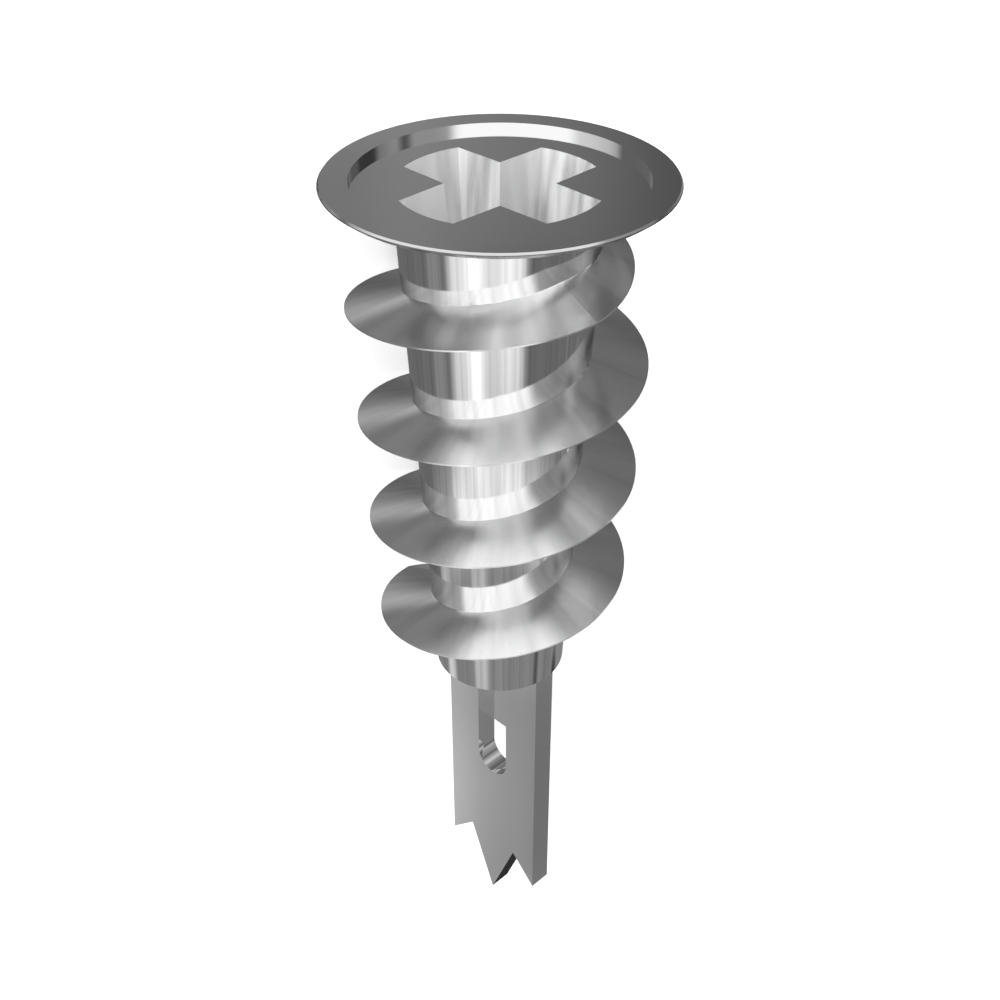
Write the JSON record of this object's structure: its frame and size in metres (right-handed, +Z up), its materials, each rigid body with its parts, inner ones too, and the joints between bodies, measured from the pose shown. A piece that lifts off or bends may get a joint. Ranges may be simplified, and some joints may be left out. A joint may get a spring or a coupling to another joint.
{
  "type": "self-drilling drywall anchor",
  "caption": "Cast zinc self-drilling drywall anchor: thin round flange with a cross socket, tapered core with a coarse helical flight, flat pointed drill blade.",
  "frame": {"origin": "on the surface that the anchor lies on, under the middle of its bounding box", "axes": "+Z up; the anchor's axis lies in the XZ plane with the flange towards +X, 4.4 degrees head up; it lies on its flange rim and on the edge of its flight"},
  "size_m": [0.0416, 0.0142, 0.0142],
  "materials": {
    "cast_zinc": "bright smooth die-cast zinc alloy"
  },
  "bodies": {
    "root": {"anchor_body": "cast_zinc"}
  },
  "joints": []
}
